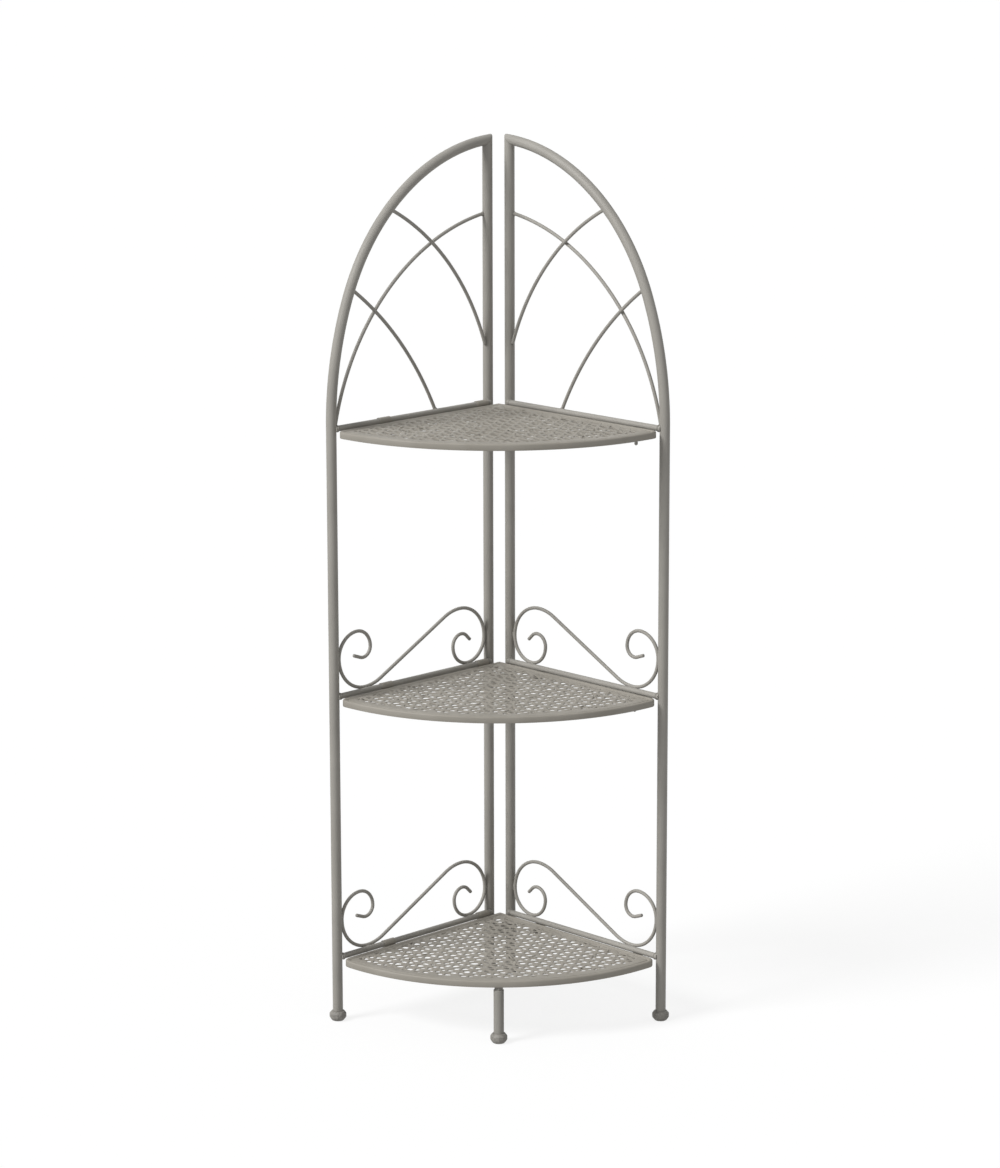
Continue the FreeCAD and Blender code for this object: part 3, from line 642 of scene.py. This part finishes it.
def make_foot(name, body, node, centre):
    """A cast ball cap with twelve soft flats and a lip where the tube enters."""
    cap = turned("cap", FOOT_OUTLINE, 12)
    ease_edges(cap, 0.7, 2, 12)
    put(smooth(turn_outward(cap), 20), Matrix.Translation([value * mm for value in centre]))
    finish_piece(cap, name, body, "foot_caps", cap_paint, node)


for side_name, side in SIDES.items():
    for kind, along in (("side_foot", WALL_REACH), ("back_foot", 0)):
        spot = frame_place(side) @ Vector((along * mm, 0, 0)) / mm
        make_foot("%s_%s_cap" % (side_name, kind), "frames", "%s_%s" % (side_name, kind), spot)
make_foot("front_foot_cap", "bottom_shelf_leaf", "front_leg_foot", (0, FRONT_LEG_LINE, 0))


# The pans: pressed sheet with a lace of piercings, drawn once and copied to each level

ROSETTE = 17.0
ROSETTE_COLUMNS, ROSETTE_ROWS = 17, 12
LACE_START = PAN_EDGE + 9.2
LACE_BOW = BOW_RADIUS - 17
LACE_OVERRUN = 170
BORDER_DEPTH = -0.55
UNEVENNESS = 3.0

# Faces up to the first area are slivers; petals and bosses over the second are pressed
SLIVER = 2
PRESSED = 45
PETAL_CORNERS = 4

tip_low = PAN_EDGE + TIP_RADIUS
tip_far = BOW_CENTRE + math.sqrt((BOW_RADIUS - TIP_RADIUS) ** 2 - (tip_low - BOW_CENTRE) ** 2)
tip_bearing = math.atan2(tip_low - BOW_CENTRE, tip_far - BOW_CENTRE)


def press(thickness, rise):
    """Draws a smaller outline inside each picked face and sinks or raises it."""
    bpy.ops.mesh.inset(thickness=thickness * mm, use_individual=True)
    bpy.ops.transform.translate(value=(0, 0, rise * mm))


def make_lace():
    """A field of rosettes: six petal piercings round a boss, pressed a little unevenly."""
    clear_bench()
    first_place = ((LACE_START - LACE_OVERRUN) * mm, LACE_START * mm, BORDER_DEPTH * mm)
    bpy.ops.mesh.primitive_circle_add(vertices=6, radius=ROSETTE * mm, fill_type="NGON",
                                      location=first_place, enter_editmode=True)
    bpy.ops.mesh.inset(thickness=0.6 * ROSETTE * mm)
    lace = bpy.context.object
    clear_bench()
    lace.select_set(True)
    bpy.ops.object.transform_apply(location=True)
    width = math.sqrt(3) * ROSETTE
    for count, step in ((ROSETTE_ROWS, (width / 2, 1.5 * ROSETTE, 0)),
                        (ROSETTE_COLUMNS, (width, 0, 0))):
        modify(lace, "ARRAY", count=count, use_relative_offset=False, use_constant_offset=True,
               constant_offset_displace=[value * mm for value in step], use_merge_vertices=True,
               merge_threshold=0.05 * mm)
    into_editing(lace)
    bpy.ops.mesh.select_all(action="SELECT")
    bpy.ops.transform.vertex_random(offset=UNEVENNESS * mm, uniform=0.3, normal=0, seed=4)
    clear_bench()
    for point in lace.data.vertices:
        x, y = (max(value / mm, LACE_START) for value in point.co.xy)
        beyond = max(1, math.hypot(x - BOW_CENTRE, y - BOW_CENTRE) / LACE_BOW)
        x = max(BOW_CENTRE + (x - BOW_CENTRE) / beyond, LACE_START)
        y = max(BOW_CENTRE + (y - BOW_CENTRE) / beyond, LACE_START)
        point.co = (x * mm, y * mm, BORDER_DEPTH * mm)
    pick_faces(lace, lambda face: face.area < SLIVER * mm * mm)
    bpy.ops.mesh.delete(type="FACE")
    close_seams(0.6)
    pick_faces(lace, lambda face: (len(face.vertices) <= PETAL_CORNERS
                                   and face.area > PRESSED * mm * mm))
    press(1.2, -0.9)
    press(0.4, -0.6)
    bpy.ops.mesh.delete(type="FACE")
    pick_faces(lace, lambda face: (len(face.vertices) > PETAL_CORNERS
                                   and face.area > PRESSED * mm * mm))
    press(1.1, -0.8)
    press(1.2, 0.9)
    press(1.2, 0.4)
    clear_bench()
    return modify(lace, "SUBSURF", levels=1, render_levels=1, boundary_smooth="PRESERVE_CORNERS")


def step_outline(point, before, after):
    """Where a point of the pan's outline lies when the outline moves from one inset to another."""
    x, y = point.x / mm, point.y / mm
    near = 0.001
    # Round a tip
    for tip_x, tip_y in ((tip_far, tip_low), (tip_low, tip_far)):
        across, up = x - tip_x, y - tip_y
        on_right = tip_x == tip_far
        beyond = (across if on_right else up) > -near
        first = -math.pi / 2 if on_right else math.pi / 2 - tip_bearing
        last = tip_bearing if on_right else math.pi
        if beyond and first - near <= math.atan2(up, across) <= last + near:
            share = (TIP_RADIUS - after) / (TIP_RADIUS - before)
            return Vector(((tip_x + across * share) * mm, (tip_y + up * share) * mm, point.z))
    # On the bow
    out, in_front = x - BOW_CENTRE, y - BOW_CENTRE
    off_bow = abs(math.hypot(out, in_front) - BOW_RADIUS + before)
    if out > 0 and in_front > -2.5 and off_bow < 0.5:
        bearing = math.atan2(in_front, out)
        reach = BOW_RADIUS - after
        return Vector(((BOW_CENTRE + reach * math.cos(bearing)) * mm,
                       (BOW_CENTRE + reach * math.sin(bearing)) * mm, point.z))
    # On a straight edge
    edge = PAN_EDGE + before
    if abs(y - edge) < 0.01:
        y += after - before
    if abs(x - edge) < 0.01:
        x += after - before
    return Vector((x * mm, y * mm, point.z))


# The pan's border from the field outwards, as (inset from the rim, height)
BORDER_STEPS = ((8.0, BORDER_DEPTH), (7.4, -1.2), (6.7, -1.5), (6.0, -1.3), (5.2, -0.6),
                (4.3, 0.0), (3.3, 0.24), (2.2, 0.28), (1.2, 0.1), (0.5, -0.4), (0.1, -1.1),
                (0.0, -1.9), (0.0, -7.6), (0.25, -8.1), (0.8, -8.2))
EDGE_STEPS, TIP_STEPS, BOW_STEPS = 24, 10, 64


def make_border():
    """The plain border, its pressed groove and the turned-down rim, drawn round the outline."""
    inset, height = BORDER_STEPS[0]
    edge = PAN_EDGE + inset
    border = start_point("border", edge, edge, height)
    stretch = (tip_far - edge) / EDGE_STEPS
    bearing = math.degrees(tip_bearing)
    up = (0, 0, 1)
    for _ in range(EDGE_STEPS):
        draw_on(stretch, 0, 0)
    swing((tip_far, tip_low, height), up, 90 + bearing, TIP_STEPS)
    swing((BOW_CENTRE, BOW_CENTRE, height), up, 90 - 2 * bearing, BOW_STEPS)
    swing((tip_low, tip_far, height), up, 90 + bearing, TIP_STEPS)
    for _ in range(EDGE_STEPS):
        draw_on(0, -stretch, 0)
    close_seams(0.05)
    bpy.ops.mesh.select_all(action="SELECT")
    for (inset, height), (next_inset, next_height) in zip(BORDER_STEPS, BORDER_STEPS[1:]):
        bpy.ops.mesh.extrude_region_move()
        bpy.ops.object.mode_set(mode="OBJECT")
        for point in border.data.vertices:
            if point.select:
                point.co = step_outline(point.co, inset, next_inset)
                point.co.z = next_height * mm
        bpy.ops.object.mode_set(mode="EDIT")
    clear_bench()
    return border


def make_pan():
    """Lace and border, joined by flat sheet between their facing edges."""
    lace = make_lace()
    border = make_border()
    pan = joined("pan", [border, lace])
    into_editing(pan, "EDGE")
    bpy.ops.mesh.select_all(action="DESELECT")
    bpy.ops.mesh.select_non_manifold(extend=False, use_wire=True, use_multi_face=False,
                                     use_non_contiguous=False, use_verts=False)
    bpy.ops.object.mode_set(mode="OBJECT")
    points = pan.data.vertices
    for edge in pan.data.edges:
        heights = [points[number].co.z / mm for number in edge.vertices]
        if max(abs(height - BORDER_DEPTH) for height in heights) > 0.01:
            edge.select = False
    bpy.ops.object.mode_set(mode="EDIT")
    bpy.ops.mesh.fill(use_beauty=True)
    return turn_outward(pan)


def finish_pan(pan):
    """Gives the sheet its thickness and cuts back its left edge for the two sleeves."""
    modify(pan, "SOLIDIFY", thickness=SHEET * mm, offset=-1)
    for place in SLEEVE_PLACES:
        clear_bench()
        middle = UPRIGHT_SPACING / 2 * math.sqrt(0.5) + place
        bpy.ops.mesh.primitive_cube_add(size=mm, scale=(SLEEVE_LENGTH + 0.4, 6.4, 12),
                                        location=(middle * mm, (PAN_EDGE - 1.8) * mm, -4 * mm))
        block = bpy.context.object
        bpy.ops.object.transform_apply(location=True, scale=True)
        modify(pan, "BOOLEAN", object=block, operation="DIFFERENCE", solver="EXACT")
        bpy.data.objects.remove(block)
    return put(smooth(pan, 38), PAN_PLACE)


def make_shelves():
    """The same pan at each level."""
    master = finish_pan(make_pan())
    for level, height in RAIL_HEIGHTS.items():
        pan = copy_of(master, level + "_lace_pan")
        put(pan, Matrix.Translation((0, 0, (height - SHELF_DROP) * mm)))
        finish_piece(pan, level + "_lace_pan", level + "_shelf_leaf", "shelf_paint", shelf_paint,
                     level + "_shelf")
    bpy.data.objects.remove(master)


make_shelves()


# Hinge sleeves: strips rolled round the left rail, their ends lying under the pan

SLEEVE_ROLL = 4.3
SLEEVE_TURN = 338
SLEEVE_TAIL = 18
SLEEVE_SHEET = 0.8


def make_sleeve(place):
    """One rolled strip, drawn in section and drawn out along the rail."""
    start = place - SLEEVE_LENGTH / 2
    strip = start_point("sleeve", start, RAIL_INSET + SLEEVE_TAIL, -SLEEVE_ROLL)
    draw_on(0, 1 - SLEEVE_TAIL, 0)
    draw_on(0, -1, 0)
    swing((place, RAIL_INSET, 0), (1, 0, 0), -SLEEVE_TURN, 30)
    close_seams()
    bpy.ops.mesh.select_all(action="SELECT")
    for _ in range(4):
        draw_on(SLEEVE_LENGTH / 4, 0, 0)
    clear_bench()
    modify(strip, "SOLIDIFY", thickness=SLEEVE_SHEET * mm, offset=0)
    return ease_edges(strip, 0.25, 2, 60)


def make_sleeves():
    """Two sleeves on the left rail at each level."""
    master = joined("sleeves", [turn_outward(make_sleeve(place)) for place in SLEEVE_PLACES])
    smooth(master, 45)
    for level, height in RAIL_HEIGHTS.items():
        pair = copy_of(master, level + "_rolled_sleeves")
        put(pair, frame_place(1) @ Matrix.Translation((0, 0, height * mm)))
        finish_piece(pair, level + "_rolled_sleeves", level + "_shelf_leaf", "frame_paint",
                     shelf_paint, level + "_hinge_sleeves")
    bpy.data.objects.remove(master)


make_sleeves()


# Lock pins, their keepers and the rest tabs on the right frame

PIN_PLACE = WALL_REACH - 36
PIN_INSET = 13.35
REST_TAB_PLACE = 60

# The pin as (radius, height) from its bulb up to its welded head
PIN_OUTLINE = ((0, -24), (1.1, -23.9), (1.8, -23.3), (2.15, -22.3), (2.15, -20), (1.75, -19.1),
               (1.7, -6), (1.8, -4.9), (2.6, -3.9), (3.2, -3.3), (0, -3.3))

# The strap's top and seat heights, its width, thickness, bend, lip past the pin, and pin hole
STRAP_TOP, STRAP_SEAT = -2.6, -11.45
STRAP_WIDTH, STRAP_THICKNESS = 16, 1.5
STRAP_BEND, STRAP_LIP, PIN_HOLE = 2, 6, 3.6


def make_pins():
    """One pin under each pan."""
    master = smooth(turned("pin", PIN_OUTLINE), 50)
    for level, height in RAIL_HEIGHTS.items():
        pin = copy_of(master, level + "_pin")
        spot = Matrix.Translation((PIN_PLACE * mm, -PIN_INSET * mm, height * mm))
        put(pin, frame_place(-1) @ spot)
        finish_piece(pin, level + "_turned_pin", level + "_shelf_leaf", "frame_paint", frame_paint,
                     level + "_lock_pin")
    bpy.data.objects.remove(master)


def make_strap(name, with_hole):
    """A strap bent under the rim, with a softened bend and, for the keeper, a pin hole."""
    bend_height = STRAP_SEAT + STRAP_BEND
    strap = start_point(name, -STRAP_WIDTH / 2, -RAIL_INSET, STRAP_TOP)
    draw_on(0, 0, bend_height - STRAP_TOP)
    swing((0, -RAIL_INSET - STRAP_BEND, bend_height), (1, 0, 0), -90, 6)
    draw_on(0, -(PIN_INSET + STRAP_LIP - RAIL_INSET - STRAP_BEND), 0)
    close_seams()
    bpy.ops.mesh.select_all(action="SELECT")
    draw_on(STRAP_WIDTH, 0, 0)
    clear_bench()
    turn_outward(strap)
    modify(strap, "SOLIDIFY", thickness=STRAP_THICKNESS * mm, offset=0)
    if with_hole:
        clear_bench()
        bpy.ops.mesh.primitive_cylinder_add(vertices=24, radius=PIN_HOLE * mm, depth=6 * mm,
                                            location=(0, -PIN_INSET * mm, STRAP_SEAT * mm))
        drill = bpy.context.object
        bpy.ops.object.transform_apply(location=True)
        modify(strap, "BOOLEAN", object=drill, operation="DIFFERENCE", solver="EXACT")
        bpy.data.objects.remove(drill)
    return smooth(ease_edges(strap, 0.3, 2, 50), 45)


def make_straps():
    """The keeper and the rest tab under each right rail."""
    for kind, along, with_hole in (("lock_keeper", PIN_PLACE, True),
                                   ("rest_tab", REST_TAB_PLACE, False)):
        master = make_strap(kind, with_hole)
        for level, height in RAIL_HEIGHTS.items():
            strap = copy_of(master, "%s_%s_strap" % (level, kind))
            put(strap, frame_place(-1) @ Matrix.Translation((along * mm, 0, height * mm)))
            finish_piece(strap, "%s_%s_strap" % (level, kind), "frames", "frame_paint", frame_paint,
                         "%s_%s" % (level, kind))
        bpy.data.objects.remove(master)


make_pins()
make_straps()


# Links that hold the two uprights together

RING_OUTLINE = ((6.65, -8), (8.0, -8), (8.3, -7.6), (8.3, 7.6), (8.0, 8), (6.65, 8), (6.65, -8))
WEB_SIZE = (12.4, 3, 15)
LINK_DROP = 25


def make_links():
    """Two rolled rings joined by a web, with eased lips, under each pair of rails."""
    parts = []
    for hand in (-1, 1):
        ring = turned("ring", RING_OUTLINE, 40)
        put(ring, Matrix.Translation((hand * UPRIGHT_SPACING / 2 * mm, 0, 0)))
        parts.append(ring)
    clear_bench()
    bpy.ops.mesh.primitive_cube_add(size=mm, location=(0, 0, 0), scale=WEB_SIZE)
    web = bpy.context.object
    bpy.ops.object.transform_apply(scale=True)
    parts.append(ease_edges(web, 0.5, 2))
    master = smooth(joined("link", parts), 45)
    for level, height in RAIL_HEIGHTS.items():
        link = copy_of(master, level + "_link")
        put(link, Matrix.Translation((0, BACK_LINE * mm, (height - LINK_DROP) * mm)))
        finish_piece(link, level + "_double_ring", "frames", "frame_paint", frame_paint,
                     level + "_hinge_link")
    bpy.data.objects.remove(master)


make_links()


# The screw-in front leg

# The leg as (radius, height), with a rounded upper lip, and the nut's radius, length and middle
LEG_OUTLINE = ((0, SOLE), (TUBE, SOLE), (TUBE, 69.0), (6.35, 69.6), (5.9, 69.95), (5.2, 70),
               (5.2, 66), (0, 66))
NUT_RADIUS, NUT_LENGTH, NUT_MIDDLE = 6, 11.3, 75.85


def make_front_leg():
    """The tube, and the welded nut that it screws up to."""
    leg = turned("front_leg", LEG_OUTLINE, 36)
    put(smooth(leg, 45), Matrix.Translation((0, FRONT_LEG_LINE * mm, 0)))
    # Its paint is darker than the frame's, as painted shade under the bottom shelf
    finish_piece(leg, "front_leg_rod", "bottom_shelf_leaf", "frame_paint", leg_paint_with_painted_shade,
                 "front_leg_tube")
    clear_bench()
    bpy.ops.mesh.primitive_cylinder_add(vertices=6, radius=NUT_RADIUS * mm, depth=NUT_LENGTH * mm,
                                        location=(0, 0, NUT_MIDDLE * mm))
    nut = bpy.context.object
    bpy.ops.object.transform_apply(location=True)
    pick_faces(nut, lambda face: face.normal.z < -0.9)
    bpy.ops.mesh.inset(thickness=0.7 * mm)
    bpy.ops.transform.translate(value=(0, 0, -0.25 * mm))
    clear_bench()
    ease_edges(nut, 0.35, 2, 25)
    put(smooth(nut, 30), Matrix.Translation((0, FRONT_LEG_LINE * mm, 0)))
    finish_piece(nut, "front_leg_nut", "bottom_shelf_leaf", "bare_steel", weld_paint,
                 "front_leg_weld_nut")
    for node in ("front_leg_stud", "front_leg_plug"):
        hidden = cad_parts[node]
        hidden.data.materials.clear()
        hidden.data.materials.append(zinc)


make_front_leg()


# Floor and light

# How much of the floor glows, where it is seen, against how much shows its shadow
GLOW_SHARE = 0.7
AIR_STRENGTH = 0.38
# Each lamp's name, strength, tilt, turn and spread in degrees
LAMPS = (("key", 2.9, 50, -60, 20), ("fill", 0.12, 60, 40, 60))


def make_floor():
    """A pale floor that shows white to the eye and keeps a soft shadow."""
    clear_bench()
    bpy.ops.mesh.primitive_plane_add(size=160, location=(0, 40, 0))
    floor = bpy.context.object
    floor.name = "studio_floor"
    pale = Finish("pale_floor")
    ground = pale.node("ShaderNodeBsdfDiffuse", {}, {"Color": (0.55, 0.55, 0.55, 1)})
    glow = pale.node("ShaderNodeEmission", {}, {"Color": (1, 1, 1, 1), "Strength": 1.2})
    path = "ShaderNodeLightPath"
    seen = (pale.node(path, {}, {}, "Is Camera Ray") + pale.node(path, {}, {}, "Is Glossy Ray")
            + pale.node(path, {}, {}, "Is Transmission Ray"))
    mixed = pale.node("ShaderNodeMixShader", {}, {0: seen * GLOW_SHARE, 1: ground, 2: glow})
    pale.node("ShaderNodeOutputMaterial", {}, {"Surface": mixed}, None)
    floor.data.materials.append(pale.material)


def light_the_room():
    """Even studio light with a broad key from the upper left, before a white backdrop."""
    world = bpy.data.worlds.new("studio_air")
    bpy.context.scene.world = world
    world.use_nodes = True
    nodes, links = world.node_tree.nodes, world.node_tree.links
    air = nodes["Background"]
    backdrop = nodes.new("ShaderNodeBackground")
    for background, strength in ((air, AIR_STRENGTH), (backdrop, 1.0)):
        background.inputs["Color"].default_value = (1, 1, 1, 1)
        background.inputs["Strength"].default_value = strength
    mixed = nodes.new("ShaderNodeMixShader")
    path = nodes.new("ShaderNodeLightPath").outputs
    seen = path["Is Camera Ray"]
    for ray in ("Is Glossy Ray", "Is Transmission Ray"):
        either = nodes.new("ShaderNodeMath")
        links.new(seen, either.inputs[0])
        links.new(path[ray], either.inputs[1])
        seen = either.outputs[0]
    links.new(seen, mixed.inputs[0])
    links.new(air.outputs[0], mixed.inputs[1])
    links.new(backdrop.outputs[0], mixed.inputs[2])
    links.new(mixed.outputs[0], nodes["World Output"].inputs["Surface"])
    for name, strength, tilt, turn, spread in LAMPS:
        bpy.ops.object.light_add(type="SUN", location=(0, 0, 3),
                                 rotation=(math.radians(tilt), 0, math.radians(turn)))
        lamp = bpy.context.object
        lamp.name = name + "_lamp"
        lamp.data.energy = strength
        lamp.data.angle = math.radians(spread)


make_floor()
light_the_room()
bpy.context.scene.view_settings.view_transform = "Standard"
